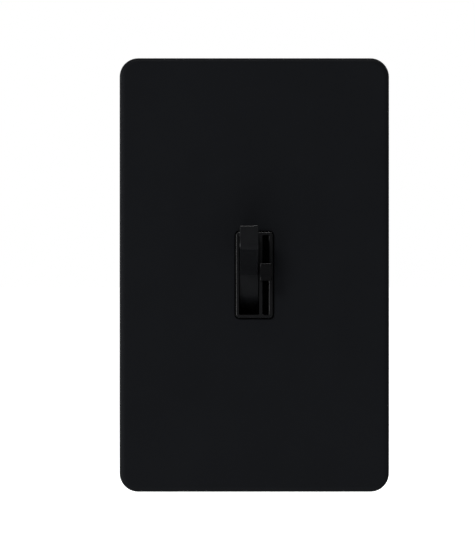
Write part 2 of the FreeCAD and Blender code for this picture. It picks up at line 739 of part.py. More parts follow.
def toggle_lever():
    """The lever with its drum, the slightly raised strip along its right side, its axle and spring pocket."""
    half_w = TOGGLE_W / 2
    main = round_lever_side(lever_slice(-half_w, half_w, 0), -half_w)
    strip = lever_slice(half_w - LEVER_STRIP_W, half_w, LEVER_STRIP_PROUD)
    strip = round_lever_side(strip, half_w)
    hub = rod("x", HUB_R, -half_w, half_w, (0, 0))
    body = main.common(box(-half_w, half_w - LEVER_STRIP_W, -DRUM_R * 3, DRUM_R, -DRUM_R * 2, DRUM_R * 2))
    body = fuse([body, strip, hub])
    axle = rod("x", TRUNNION_R, -half_w - TRUNNION_L, half_w + TRUNNION_L, (0, 0))
    tail = rod("y", TAIL_R, 0, TAIL_REACH, (0, 0))
    pocket = rod("y", SPRING_R + SPRING_WIRE_R + SPRING_POCKET_GAP, SPRING_START, TAIL_REACH, (0, 0))
    return swing(fuse([body, axle, tail]).cut(pocket))


def toggle_spring():
    """The over-centre spring, from its pocket in the lever's tail to the rocking contact."""
    height = SPRING_END - SPRING_START - 2 * SPRING_WIRE_R
    helix = Part.makeHelix(height / SPRING_TURNS, height, SPRING_R)
    section = Part.Wire(
        Part.makeCircle(SPRING_WIRE_R, Vector(SPRING_R, 0, 0), Vector(0, 1, 0))
    )
    coil = Part.Wire(helix.Edges).makePipeShell([section], True, True)
    coil.rotate(Vector(0, 0, 0), AXES["x"], -90)
    coil.translate(Vector(0, SPRING_START + SPRING_WIRE_R, 0))
    return swing(coil)


def tilt(shape):
    """From the rocker's own frame, level with its pivot at the origin, to its tilted place."""
    turned = shape.copy()
    turned.rotate(Vector(0, 0, 0), AXES["x"], ROCKER_TILT)
    turned.translate(Vector(TOGGLE_X, ROCKER_Y, 0))
    return turned


def rocking_contact():
    half_w = ROCKER_W / 2
    strip = slab(ROCKER_W, 2 * ROCKER_HALF_L, 1.0, -ROCKER_T / 2, ROCKER_T / 2)
    reach = half_w + CRADLE_SIDE_GAP + CRADLE_T
    pin = rod("x", ROCKER_PIN_R, -reach, reach, (0, 0))
    return tilt(fuse([strip, pin]))


def contact_buttons():
    back = ROCKER_T / 2
    return [
        tilt(rod("y", CONTACT_R, back, back + CONTACT_T, (0, side * CONTACT_Z)))
        for side in (-1, 1)
    ]


def fixed_contacts():
    """Two buttons that reach forward to just short of the rocker's, when either end is pressed."""
    back = BOARD_FRONT - TRAVELLER_T
    return [
        rod("y", CONTACT_R, FIXED_CONTACT_FRONT, back, (TOGGLE_X, side * CONTACT_Z))
        for side in (-1, 1)
    ]


def traveller_strips():
    """Brass strips on the board that carry the fixed buttons."""
    strips = []
    for side in (-1, 1):
        z = side * CONTACT_Z
        strips.append(
            slab(ROCKER_W, TRAVELLER_L, 0.8, BOARD_FRONT - TRAVELLER_T, BOARD_FRONT, TOGGLE_X, z)
        )
    return strips


def rocker_cradle():
    """The common contact: a folded brass cradle whose ears carry the rocker's pins."""
    inner = ROCKER_W / 2 + CRADLE_SIDE_GAP
    outer = inner + CRADLE_T
    ear_front = ROCKER_Y - 1.4
    base = box(-outer, outer, BOARD_FRONT - CRADLE_T, BOARD_FRONT, -CRADLE_HALF_H, CRADLE_HALF_H)
    ears = [
        box(x0, x0 + CRADLE_T, ear_front, BOARD_FRONT, -CRADLE_HALF_H, CRADLE_HALF_H)
        for x0 in (-outer, inner)
    ]
    cradle = fuse([base] + ears)
    bearing = rod("x", ROCKER_PIN_R + ROCKER_PIN_GAP, -outer, outer, (ROCKER_Y, 0))
    cradle = cradle.cut(bearing)
    cradle.translate(Vector(TOGGLE_X, 0, 0))
    return cradle


# ---- slide control -------------------------------------------------------------------------------
def slider_knob():
    back = BEZEL_FACE - KNOB_FACE_GAP
    front = BEZEL_FACE - KNOB_PROUD
    x0, x1 = SLOT_X - KNOB_W / 2, SLOT_X + KNOB_W / 2
    z0, z1 = SLIDER_REST - KNOB_H / 2, SLIDER_REST + KNOB_H / 2
    knob = box(x0, x1, front, back, z0, z1)
    knob = fillet_where(
        knob, KNOB_EDGE_R, lambda p: p.y < back - 1e-4
    )
    scoop_y = front - KNOB_SCOOP_R + KNOB_SCOOP_DEPTH
    scoop = rod("x", KNOB_SCOOP_R, x0, x1, (scoop_y, SLIDER_REST))
    stem_w = SLOT_W - 2 * STEM_GAP + 2 * KNOB_SOCKET_GAP
    stem_h = STEM_H + 2 * KNOB_SOCKET_GAP
    socket = box(
        SLOT_X - stem_w / 2, SLOT_X + stem_w / 2, back - KNOB_SOCKET_DEPTH, back,
        SLIDER_REST - stem_h / 2, SLIDER_REST + stem_h / 2,
    )
    return knob.cut([scoop, socket])


def slider_carriage():
    """The moving plate behind the bezel, with its stem out through the slot and its fork over the wiper."""
    stem_w = SLOT_W - 2 * STEM_GAP
    stem_h = STEM_H
    stem_front = BEZEL_FACE - KNOB_FACE_GAP - KNOB_SOCKET_DEPTH + KNOB_SOCKET_GAP
    plate_front = FLANGE_BACK + CARRIAGE_GAP
    plate_back = plate_front + CARRIAGE_T
    left = DIVIDER_RIGHT + STEM_GAP
    right = POT_X + POT_W / 2 - 0.5
    low, high = SLIDER_REST - CARRIAGE_H / 2, SLIDER_REST + CARRIAGE_H / 2
    stem = box(
        SLOT_X - stem_w / 2, SLOT_X + stem_w / 2, stem_front, plate_back,
        SLIDER_REST - stem_h / 2, SLIDER_REST + stem_h / 2,
    )
    plate = box(left, right, plate_front, plate_back, low, high)
    fork = slider_wiper_blank(FORK_GAP, plate_front, plate_back)
    return fuse([stem, plate]).cut(fork)


def slider_wiper_blank(grow, y0, y1):
    half_w = WIPER_W / 2 + grow
    half_h = WIPER_H / 2 + grow
    return box(
        POT_X - half_w, POT_X + half_w, y0, y1, SLIDER_REST - half_h, SLIDER_REST + half_h
    )


def pot_wiper():
    """The potentiometer's own slider: a blade up through its shell and a block that rides the track."""
    blade_front = FLANGE_BACK + CARRIAGE_GAP
    block_front = BOARD_FRONT - POT_D + POT_SHELL_T + WIPER_SHELL_GAP
    block_back = BOARD_FRONT - TRACK_T - WIPER_TRACK_GAP
    blade = slider_wiper_blank(0, blade_front, block_back)
    block = box(
        POT_X - WIPER_BLOCK_W / 2, POT_X + WIPER_BLOCK_W / 2, block_front, block_back,
        SLIDER_REST - WIPER_BLOCK_H / 2, SLIDER_REST + WIPER_BLOCK_H / 2,
    )
    return fuse([blade, block])


def pot_shell():
    """A folded steel shell, open towards the board, with the blade's slot in its front."""
    half_w, half_h = POT_W / 2, POT_H / 2
    front = BOARD_FRONT - POT_D
    outer = box(POT_X - half_w, POT_X + half_w, front, BOARD_FRONT, -half_h, half_h)
    inner = box(
        POT_X - half_w + POT_SHELL_T, POT_X + half_w - POT_SHELL_T, front + POT_SHELL_T,
        BOARD_FRONT, -half_h + POT_SHELL_T, half_h - POT_SHELL_T,
    )
    reach = SLIDER_TRAVEL / 2 + WIPER_H / 2 + WIPER_SLOT_GAP
    slot_half = WIPER_W / 2 + WIPER_SLOT_GAP
    slot = box(
        POT_X - slot_half, POT_X + slot_half, front, front + POT_SHELL_T, -reach, reach
    )
    return outer.cut([inner, slot])


def pot_track():
    """The resistive track board inside the shell, face down on the circuit board."""
    half_w = POT_W / 2 - POT_SHELL_T - 0.05
    half_h = POT_H / 2 - POT_SHELL_T - 0.05
    return box(
        POT_X - half_w, POT_X + half_w, BOARD_FRONT - TRACK_T, BOARD_FRONT, -half_h, half_h
    )


# ---- housing, board and terminals ------------------------------------------------------------------
def back_housing():
    outer = slab(2 * HOUSING_X, HOUSING_H, HOUSING_CORNER_R, YOKE_BACK, HOUSING_BACK)
    outer = fillet_where(outer, HOUSING_EDGE_R, lambda p: same(p.y, HOUSING_BACK))
    inner = slab(
        2 * (HOUSING_X - HOUSING_T), HOUSING_H - 2 * HOUSING_T,
        HOUSING_CORNER_R - HOUSING_T, YOKE_BACK, HOUSING_INSIDE,
    )
    bosses = [rod("y", BOSS_R, BOARD_BACK, HOUSING_BACK - 1, corner) for corner in HOUSING_CORNERS]
    walls = [pocket_box(side, z, POCKET_WALL) for side, z in TERMINALS]
    body = fuse([outer.cut(inner)] + bosses + walls)
    cuts = [pocket_box(side, z, 0) for side, z in TERMINALS]
    for side, z in TERMINALS:
        x0, x1 = sorted((side * (POCKET_FLOOR - POCKET_WALL), side * POCKET_FLOOR))
        cuts.append(rod("x", SCREW_R + 0.4, x0, x1, (TERMINAL_Y, z)))
        cuts.append(terminal_tail(z, x0, x1, TERMINAL_TAIL_GAP))
    for corner in HOUSING_CORNERS:
        head_top = HOUSING_BACK - HOUSING_HEAD_SUNK - HOUSING_HEAD_H
        cuts.append(rod("y", HOUSING_SCREW_R + HOUSING_SCREW_GAP, YOKE_BACK, HOUSING_BACK, corner))
        cuts.append(rod("y", HOUSING_HEAD_R + HOUSING_HEAD_GAP, head_top, HOUSING_BACK, corner))
    return body.cut(cuts + housing_back_marks())


def housing_back_marks():
    """The blank recess for a label, and the groove beside it that a wire is stripped against."""
    label = slab(LABEL_W, LABEL_H, 1.0, HOUSING_BACK - LABEL_DEPTH, HOUSING_BACK)
    groove_x = HOUSING_X - GAUGE_FROM_SIDE
    groove = slab(GAUGE_W, GAUGE_H, GAUGE_W / 2.1, HOUSING_BACK - GAUGE_DEPTH, HOUSING_BACK, groove_x)
    return [label, groove]


def pocket_box(side, z, wall):
    """A terminal's pocket in the housing's side, grown by a wall where it borders the inside."""
    outer_x = HOUSING_X - HOUSING_CORNER_R / 10 if wall else HOUSING_X
    x0, x1 = sorted((side * (POCKET_FLOOR - wall), side * outer_x))
    reach = POCKET_HALF_H + wall
    return box(x0, x1, TERMINAL_Y - reach, TERMINAL_Y + reach, z - reach, z + reach)


def housing_screws():
    """Long screws from the back of the housing, through the board, into the yoke."""
    screws = []
    for corner in HOUSING_CORNERS:
        head_back = HOUSING_BACK - HOUSING_HEAD_SUNK
        seat = head_back - HOUSING_HEAD_H
        head = rod("y", HOUSING_HEAD_R, seat, head_back, corner)
        shank = rod("y", HOUSING_SCREW_R, YOKE_FRONT + 0.2, seat, corner)
        slot = box(
            corner[0] - HOUSING_HEAD_R, corner[0] + HOUSING_HEAD_R,
            head_back - HOUSING_HEAD_H / 2, head_back,
            corner[1] - 0.35, corner[1] + 0.35,
        )
        screws.append(fuse([head, shank]).cut(slot))
    return screws


def circuit_board():
    width = 2 * (HOUSING_X - HOUSING_T - BOARD_GAP)
    height = HOUSING_H - 2 * (HOUSING_T + BOARD_GAP)
    board = slab(width, height, 1.0, BOARD_FRONT, BOARD_BACK)
    cuts = [
        rod("y", HOUSING_SCREW_R + HOUSING_SCREW_GAP, BOARD_FRONT, BOARD_BACK, corner)
        for corner in HOUSING_CORNERS
    ]
    for side, z in TERMINALS:
        notch = pocket_box(side, z, POCKET_WALL + BOARD_GAP)
        cuts.append(notch)
    return board.cut(cuts)


def terminal_tail(z, x0, x1, grow):
    """The strip that runs in from the outer edge of a terminal's plate to lie on the board."""
    middle = z + math.copysign(TERMINAL_TAIL_OFFSET, z)
    half = TERMINAL_TAIL_HALF + grow
    return box(
        x0, x1, BOARD_FRONT - TERMINAL_TAIL_T - grow, BOARD_FRONT + grow, middle - half, middle + half
    )


def terminal_plates():
    plates = []
    for side, z in TERMINALS:
        face = POCKET_FLOOR + TERMINAL_PLATE_T
        x0, x1 = sorted((side * POCKET_FLOOR, side * face))
        half = TERMINAL_PLATE_HALF
        plate = box(x0, x1, TERMINAL_Y - half, TERMINAL_Y + half, z - half, z + half)
        inner_end = POCKET_FLOOR - POCKET_WALL - BOARD_GAP - TERMINAL_TAIL_REACH
        t0, t1 = sorted((side * inner_end, side * POCKET_FLOOR))
        tail = terminal_tail(z, t0, t1, 0)
        hole = rod("x", SCREW_R + SCREW_HOLE_GAP, min(t0, x0), max(t1, x1), (TERMINAL_Y, z))
        plates.append(fuse([plate, tail]).cut(hole))
    return plates


def terminal_clamps():
    clamps = []
    for side, z in TERMINALS:
        seat = POCKET_FLOOR + TERMINAL_PLATE_T
        x0, x1 = sorted((side * seat, side * (seat + CLAMP_T)))
        half = CLAMP_HALF
        clamp = box(x0, x1, TERMINAL_Y - half, TERMINAL_Y + half, z - half, z + half)
        clamp = clamp.makeFillet(0.8, parallel_edges(clamp, "x"))
        hole = rod("x", SCREW_R + SCREW_HOLE_GAP, x0, x1, (TERMINAL_Y, z))
        clamps.append(clamp.cut(hole))
    return clamps


def terminal_screws():
    screws = []
    for side, z in TERMINALS:
        at = (TERMINAL_Y, z)
        seat = POCKET_FLOOR + TERMINAL_PLATE_T + CLAMP_T
        top = seat + TERMINAL_HEAD_H
        h0, h1 = sorted((side * seat, side * top))
        s0, s1 = sorted((side * (POCKET_FLOOR - POCKET_WALL), side * seat))
        head = rod("x", TERMINAL_HEAD_R, h0, h1, at)
        outer_face = [
            e for e in head.Edges
            if e.Curve.TypeId == "Part::GeomCircle" and same(e.Curve.Center.x, side * top)
        ]
        head = head.makeFillet(0.6, outer_face)
        shank = rod("x", SCREW_R, s0, s1, at)
        c0, c1 = sorted((side * (top - SLOT_CUT_DEPTH), side * top))
        across = TERMINAL_HEAD_R
        half_cut = SLOT_CUT_W / 2
        slots = [
            box(c0, c1, at[0] - across, at[0] + across, z - half_cut, z + half_cut),
            box(c0, c1, at[0] - half_cut, at[0] + half_cut, z - across / 2, z + across / 2),
        ]
        screws.append(fuse([head, shank]).cut(slots))
    return screws


# ---- power parts -----------------------------------------------------------------------------------
def triac_hole():
    return (TRIAC_X, TRIAC_Z + TRIAC_TAB_H / 2 - 2.8)


def thermal_pad():
    back = YOKE_BACK + TRIAC_PAD_T
    width = TRIAC_W + 2 * TRIAC_PAD_MARGIN
    height = TRIAC_TAB_H + 2 * TRIAC_PAD_MARGIN
    pad = slab(width, height, 0.5, YOKE_BACK, back, TRIAC_X, TRIAC_Z)
    return pad.cut(rod("y", TRIAC_RIVET_R + SCREW_HOLE_GAP, YOKE_BACK, back, triac_hole()))


def triac_tab():
    front = YOKE_BACK + TRIAC_PAD_T
    back = front + TRIAC_TAB_T
    tab = slab(TRIAC_W, TRIAC_TAB_H, 0.5, front, back, TRIAC_X, TRIAC_Z)
    return tab.cut(rod("y", TRIAC_RIVET_R + SCREW_HOLE_GAP, front, back, triac_hole()))


def triac_body():
    front = YOKE_BACK + TRIAC_PAD_T + TRIAC_TAB_T
    back = YOKE_BACK + TRIAC_PAD_T + TRIAC_BODY_D
    z = TRIAC_Z - (TRIAC_TAB_H - TRIAC_BODY_H) / 2
    return slab(TRIAC_W, TRIAC_BODY_H, 0.6, front, back, TRIAC_X, z)


def triac_rivet():
    head = YOKE_BACK + TRIAC_PAD_T + TRIAC_TAB_T
    at = triac_hole()
    shank = rod("y", TRIAC_RIVET_R, YOKE_FRONT + 0.1, head, at)
    return fuse([shank, rod("y", 1.8 * TRIAC_RIVET_R, head, head + 1.0, at)])


def triac_leads():
    """Three legs, straight back from under the body to the board."""
    bottom = TRIAC_Z - TRIAC_TAB_H / 2
    mid = YOKE_BACK + TRIAC_PAD_T + TRIAC_BODY_D / 2
    leads = []
    for k in (-1, 0, 1):
        x = TRIAC_X + k * TRIAC_LEAD_PITCH
        half = TRIAC_LEAD / 2
        out = box(x - half, x + half, mid, mid + TRIAC_LEAD, bottom - 2.0, bottom)
        down = box(x - half, x + half, mid, BOARD_FRONT, bottom - 2.0, bottom - 2.0 + TRIAC_LEAD)
        leads.append(fuse([out, down]))
    return leads


def choke_centre_y():
    return BOARD_BACK + 2 * CHOKE_WIRE_GAP + CHOKE_WIRE + CHOKE_CORE_H / 2


def choke_core():
    y0 = choke_centre_y() - CHOKE_CORE_H / 2
    at = (CHOKE_X, CHOKE_Z)
    core = ring("y", CHOKE_CORE_R, CHOKE_HOLE_R, y0, y0 + CHOKE_CORE_H, at)
    circles = [e for e in core.Edges if e.Curve.TypeId == "Part::GeomCircle"]
    return core.makeFillet(0.8, circles)


def choke_winding():
    """The turns of enamelled wire, each a rounded loop around the core's section."""
    half_h = CHOKE_CORE_H / 2 + CHOKE_WIRE_GAP
    inner = CHOKE_HOLE_R - CHOKE_WIRE_GAP
    outer = CHOKE_CORE_R + CHOKE_WIRE_GAP
    y = choke_centre_y()
    turns = []
    for k in range(CHOKE_TURNS):
        blank = box(
            inner - CHOKE_WIRE, outer + CHOKE_WIRE, -CHOKE_WIRE / 2, CHOKE_WIRE / 2,
            -half_h - CHOKE_WIRE, half_h + CHOKE_WIRE,
        )
        blank = blank.makeFillet(CHOKE_WIRE, parallel_edges(blank, "y"))
        turn = blank.cut(box(inner, outer, -CHOKE_WIRE, CHOKE_WIRE, -half_h, half_h))
        turn.rotate(Vector(0, 0, 0), AXES["z"], 360.0 * k / CHOKE_TURNS)
        turn.rotate(Vector(0, 0, 0), AXES["x"], -90)
        turn.translate(Vector(CHOKE_X, y, CHOKE_Z))
        turns.append(turn)
    return [fuse(turns)]


def film_capacitor():
    width, depth, height = FILM_CAP
    x, z = FILM_CAP_AT
    body = box(x - width / 2, x + width / 2, BOARD_BACK, BOARD_BACK + depth, z - height / 2, z + height / 2)
    return fillet_where(body, FILM_CAP_EDGE_R, lambda p: p.y > BOARD_BACK + 1e-4)


def round_capacitor():
    can = rod("y", ROUND_CAP_R, BOARD_BACK, BOARD_BACK + ROUND_CAP_H, ROUND_CAP_AT)
    circles = [e for e in can.Edges if e.Curve.TypeId == "Part::GeomCircle"]
    return can.makeFillet(0.5, circles)


def resistors():
    """Two axial resistors that lie on the back of the board, with their legs bent into it."""
    x, z = RESISTOR_AT
    return [
        axial_part(RESISTOR_R, RESISTOR_L, (x, z + k * RESISTOR_PITCH)) for k in (-0.5, 0.5)
    ]


def diac():
    return axial_part(DIAC_R, DIAC_L, DIAC_AT)


def axial_part(radius, length, at):
    """A small cylinder along X on the back of the board, with a bent leg at each end."""
    x, z = at
    y = BOARD_BACK + radius + 0.1
    reach = length / 2 + 1.2
    body = rod("x", radius, x - length / 2, x + length / 2, (y, z))
    circles = [e for e in body.Edges if e.Curve.TypeId == "Part::GeomCircle"]
    body = body.makeFillet(0.4 * radius, circles)
    wire = rod("x", RESISTOR_LEAD_R, x - reach, x + reach, (y, z))
    legs = [rod("y", RESISTOR_LEAD_R, BOARD_BACK, y, (x + side * reach, z)) for side in (-1, 1)]
    elbows = [
        Part.makeSphere(RESISTOR_LEAD_R, Vector(x + side * reach, y, z)) for side in (-1, 1)
    ]
    return fuse([body, wire] + legs + elbows)


def trim_potentiometer():
    x, z = TRIM_AT
    front = BOARD_FRONT - TRIM_BASE_D
    base = slab(TRIM_BASE, TRIM_BASE, 0.5, front, BOARD_FRONT, x, z)
    seat = rod("y", TRIM_SHAFT_R + 0.1, front, front + 2.0, TRIM_AT)
    return base.cut(seat)


def trim_dial():
    """The low-end adjustment: a shaft from the trimmer to the yoke's hole, with a screwdriver slot."""
    base_front = BOARD_FRONT - TRIM_BASE_D
    tip = YOKE_FRONT
    shaft = rod("y", TRIM_SHAFT_R, tip, base_front + 1.9, TRIM_AT)
    flange = rod("y", TRIM_FLANGE_R, YOKE_BACK + 0.2, YOKE_BACK + 0.2 + TRIM_FLANGE_T, TRIM_AT)
    slot = box(
        TRIM_AT[0] - TRIM_SHAFT_R, TRIM_AT[0] + TRIM_SHAFT_R, tip, tip + 0.9,
        TRIM_AT[1] - TRIM_SLOT_W / 2, TRIM_AT[1] + TRIM_SLOT_W / 2,
    )
    return fuse([shaft, flange]).cut(slot)


NODES = {
    "wall_plate": wall_plate,
    "adapter_plate": adapter_plate,
    "adapter_screws": adapter_screws,
    "yoke": yoke,
    "mounting_screws": mounting_screws,
    "screw_retainers": screw_retainers,
    "ground_screw": ground_screw,
    "bezel": bezel,
    "toggle_lever": toggle_lever,
    "toggle_spring": toggle_spring,
    "rocking_contact": rocking_contact,
    "rocker_buttons": contact_buttons,
    "rocker_cradle": rocker_cradle,
    "fixed_contacts": fixed_contacts,
    "traveller_strips": traveller_strips,
    "slider_knob": slider_knob,
    "slider_carriage": slider_carriage,
    "pot_wiper": pot_wiper,
    "pot_shell": pot_shell,
    "pot_track": pot_track,
    "back_housing": back_housing,
    "housing_screws": housing_screws,
    "circuit_board": circuit_board,
    "terminal_plates": terminal_plates,
    "terminal_clamps": terminal_clamps,
    "terminal_screws": terminal_screws,
    "thermal_pad": thermal_pad,
    "triac_tab": triac_tab,
    "triac_body": triac_body,
    "triac_rivet": triac_rivet,
    "triac_leads": triac_leads,
    "choke_core": choke_core,
    "choke_winding": choke_winding,
    "film_capacitor": film_capacitor,
    "round_capacitor": round_capacitor,
    "resistors": resistors,
    "diac": diac,
    "trim_potentiometer": trim_potentiometer,
    "trim_dial": trim_dial,
}


def main():
    os.makedirs("parts", exist_ok=True)
    for name, make in NODES.items():
        made = make()
        shape = Part.makeCompound(made) if isinstance(made, list) else made
        shape.exportStep(f"parts/{name}.step")
        bounds = shape.BoundBox
        print(
            f"{name:20s} solids {len(shape.Solids):2d} valid {shape.isValid()} "
            f"x {bounds.XMin:.2f}..{bounds.XMax:.2f} y {bounds.YMin:.2f}..{bounds.YMax:.2f} "
            f"z {bounds.ZMin:.2f}..{bounds.ZMax:.2f}"
        )


main()
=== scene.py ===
"""A toggle dimmer with a slide control, under a screwless black plate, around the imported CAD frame."""

import math

import bmesh
import bpy
from mathutils import Matrix, Vector


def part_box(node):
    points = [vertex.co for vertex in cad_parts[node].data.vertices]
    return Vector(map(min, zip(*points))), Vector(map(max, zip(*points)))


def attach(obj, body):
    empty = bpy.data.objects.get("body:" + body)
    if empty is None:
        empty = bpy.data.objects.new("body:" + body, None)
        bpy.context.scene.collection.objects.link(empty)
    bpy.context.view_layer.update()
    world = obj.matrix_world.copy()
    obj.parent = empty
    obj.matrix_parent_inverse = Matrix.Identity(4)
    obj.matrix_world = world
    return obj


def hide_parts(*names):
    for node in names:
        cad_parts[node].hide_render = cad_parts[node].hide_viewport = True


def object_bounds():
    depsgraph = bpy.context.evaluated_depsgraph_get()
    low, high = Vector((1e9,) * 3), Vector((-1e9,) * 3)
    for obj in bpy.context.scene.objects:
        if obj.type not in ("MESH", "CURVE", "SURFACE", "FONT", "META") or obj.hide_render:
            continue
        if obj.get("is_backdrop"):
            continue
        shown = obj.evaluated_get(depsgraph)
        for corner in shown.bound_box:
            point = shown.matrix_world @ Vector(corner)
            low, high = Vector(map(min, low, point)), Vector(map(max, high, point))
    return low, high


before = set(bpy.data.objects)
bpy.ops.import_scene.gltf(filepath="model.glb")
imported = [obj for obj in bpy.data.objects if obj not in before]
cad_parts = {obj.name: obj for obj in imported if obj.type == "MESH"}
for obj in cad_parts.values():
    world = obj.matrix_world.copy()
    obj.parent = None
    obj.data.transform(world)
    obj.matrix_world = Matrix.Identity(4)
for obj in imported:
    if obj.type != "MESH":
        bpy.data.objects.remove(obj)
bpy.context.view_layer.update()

MM = 0.001
SAME_POINT = 1e-7
SMOOTH_ANGLE = math.radians(35.0)

# ---- camera -------------------------------------------------------------------------------------
LENS = 150.0
SENSOR = 36.0
VIEW_DISTANCE = 0.6315
VIEW_LEFT = -0.00462
VIEW_DOWN = -0.00041
CLIP_NEAR = 0.01
CLIP_FAR = 200.0

# ---- floor and light ----------------------------------------------------------------------------
WHITE = (1.0, 1.0, 1.0, 1.0)
SKY_LIGHT = (0.15, 0.154, 0.162, 1.0)
FLOOR_DROP = 0.09
FLOOR_SIZE = 60.0
FLOOR_COLOUR = (0.86, 0.86, 0.85)
FLOOR_ROUGHNESS = 0.9
FLOOR_SPECULAR = 0.1
FLOOR_GLOW = 0.75
KEY_FROM = (-0.45, -0.75, 0.48)
KEY_STRENGTH = 1.9
KEY_SPREAD = math.radians(18.0)

# Area lights, all aimed at the object's middle: name, place, size, power, and whether each is seen by
# diffuse surfaces and by gloss.
AREA_LIGHTS = (
    ("left_box", (-1.30, -0.10, 0.05), (0.70, 1.20), 6.0, True, True),
    ("left_sheen", (-1.30, -0.25, 0.0), (0.60, 1.20), 9.0, False, True),
    ("left_front_sheen", (-0.75, -1.10, 0.0), (0.25, 1.30), 5.0, False, True),
    ("low_box", (-0.20, -0.80, -1.10), (0.90, 0.60), 10.0, True, False),
    ("top_box", (0.0, -0.35, 1.20), (1.20, 0.50), 1.0, True, True),
    ("top_sheen", (0.0, -0.25, 1.20), (1.20, 0.30), 12.0, False, True),
    ("back_fill", (0.70, 0.95, 0.60), (0.80, 0.80), 7.0, True, True),
    ("back_left", (-0.95, 0.70, 0.25), (0.50, 0.70), 3.0, True, True),
)

# ---- screws: lengths along a screw are measured from the top of its head ------------------------
PITCH = 0.794 * MM
THREAD_DEPTH = 0.30 * MM
THREAD_ROOT_AT = 0.15
THREAD_CREST_AT = 0.85
THREAD_ROWS = 8
SCREW_SIDES = 36
SCREW_R = 1.75 * MM
NECK_R = 1.35 * MM
SLOT_W = 1.1 * MM
SLOT_DEPTH = 1.2 * MM
TRUSS_R = 4.0 * MM
TRUSS_H = 2.1 * MM
TRUSS_ROUND = 1.68 * MM
NECK_END = 5.5 * MM
COUNTERSUNK_R = 3.5 * MM
COUNTERSUNK_H = 1.9 * MM
COUNTERSUNK_SLOT = 0.95 * MM
FLANGE_R = 4.0 * MM
FLANGE_T = 0.7 * MM
HEX_FLAT_R = 3.1 * MM
HEX_CORNER_R = 3.45 * MM
HEX_TOP_R = 2.9 * MM
HEX_TOP_CUT = 0.35 * MM
HEX_H = 2.8 * MM
BINDING_R = 3.4 * MM
BINDING_H = 2.4 * MM
BINDING_ROUND = 0.6 * MM
BINDING_END = 5.9 * MM
PAN_R = 2.3 * MM
PAN_H = 1.5 * MM
PAN_ROUND = 0.5 * MM
PAN_SLOT_W = 0.7 * MM
PAN_SHANK_R = 1.25 * MM
PAN_THREAD_L = 8.0 * MM
EDGE_BREAK = 0.08 * MM
SLOT_OVERRUN = 1.0 * MM

# ---- label --------------------------------------------------------------------------------------
LABEL_SIZE = (21.3 * MM, 33.3 * MM)
LABEL_CORNER = 0.8 * MM
LABEL_RECESS = 0.3 * MM
LABEL_T = 0.14 * MM
LABEL_RIM_T = 0.084 * MM
LABEL_RIM_W = 0.12 * MM
LABEL_MARGIN = 0.7 * MM


# ---- material building blocks -------------------------------------------------------------------
# Most of a noise pattern lies between these two values.
SOURCE_LOW = 0.3
SOURCE_HIGH = 0.7


def shader_of(mat):
    """The material's own surface shader."""
    return mat.node_tree.nodes["Principled BSDF"]


def plain(name, colour, roughness, metallic=0.0, specular=0.5, coat=0.0, coat_roughness=0.1):
    """A material with constant values on the shader's own sockets."""
    mat = bpy.data.materials.new(name)
    mat.use_nodes = True
    sockets = shader_of(mat).inputs
    sockets["Base Color"].default_value = (*colour, 1.0)
    sockets["Roughness"].default_value = roughness
    sockets["Metallic"].default_value = metallic
    sockets["Specular IOR Level"].default_value = specular
    sockets["Coat Weight"].default_value = coat
    sockets["Coat Roughness"].default_value = coat_roughness
    mat.diffuse_color = (*colour, 1.0)
    return mat


def node(mat, kind, **values):
    """A new shader node with some inputs set, each named with _ in place of a space."""
    made = mat.node_tree.nodes.new(kind)
    for name, value in values.items():
        made.inputs[name.replace("_", " ")].default_value = value
    return made


def link(mat, source, target):
    mat.node_tree.links.new(source, target)


def placed(mat, stretch=(1.0, 1.0, 1.0)):
    """The object's own coordinates, in metres, with each axis scaled."""
    coordinates = mat.node_tree.nodes.new("ShaderNodeTexCoord")
    mapping = node(mat, "ShaderNodeMapping", Scale=stretch)
    link(mat, coordinates.outputs["Object"], mapping.inputs["Vector"])
    return mapping.outputs["Vector"]


def noise(mat, grain, detail=2.0, stretch=(1.0, 1.0, 1.0)):
    """A noise pattern whose grains are about `grain` metres across."""
    texture = node(mat, "ShaderNodeTexNoise", Scale=1.0 / grain, Detail=detail)
    link(mat, placed(mat, stretch), texture.inputs["Vector"])
    return texture.outputs["Fac"]


def cells(mat, size):
    """A pattern of cells about `size` metres across."""
    texture = node(mat, "ShaderNodeTexVoronoi", Scale=1.0 / size)
    link(mat, placed(mat), texture.inputs["Vector"])
    return texture.outputs["Distance"]


def vary_roughness(mat, source, low, high):
    """Lets the pattern drive the roughness, from `low` to `high`."""
    ends = dict(From_Min=SOURCE_LOW, From_Max=SOURCE_HIGH, To_Min=low, To_Max=high)
    remap = node(mat, "ShaderNodeMapRange", **ends)
    link(mat, source, remap.inputs["Value"])
    link(mat, remap.outputs["Result"], shader_of(mat).inputs["Roughness"])


def vary_colour(mat, source, dark, light, source_low=SOURCE_LOW, source_high=SOURCE_HIGH):
    """Lets the pattern drive the colour, from `dark` to `light`."""
    ramp = mat.node_tree.nodes.new("ShaderNodeValToRGB")
    ramp.color_ramp.elements[0].position = source_low
    ramp.color_ramp.elements[0].color = (*dark, 1.0)
    ramp.color_ramp.elements[1].position = source_high
    ramp.color_ramp.elements[1].color = (*light, 1.0)
    link(mat, source, ramp.inputs["Fac"])
    link(mat, ramp.outputs["Color"], shader_of(mat).inputs["Base Color"])


def emboss(mat, source, depth, strength=1.0):
    """Adds a bump of `depth` metres on top of any bump the material already has."""
    bump = node(mat, "ShaderNodeBump", Strength=strength, Distance=depth)
    link(mat, source, bump.inputs["Height"])
    normal = shader_of(mat).inputs["Normal"]
    if normal.is_linked:
        link(mat, normal.links[0].from_socket, bump.inputs["Normal"])
    link(mat, bump.outputs["Normal"], normal)


def shade(colour, factor):
    return tuple(channel * factor for channel in colour)


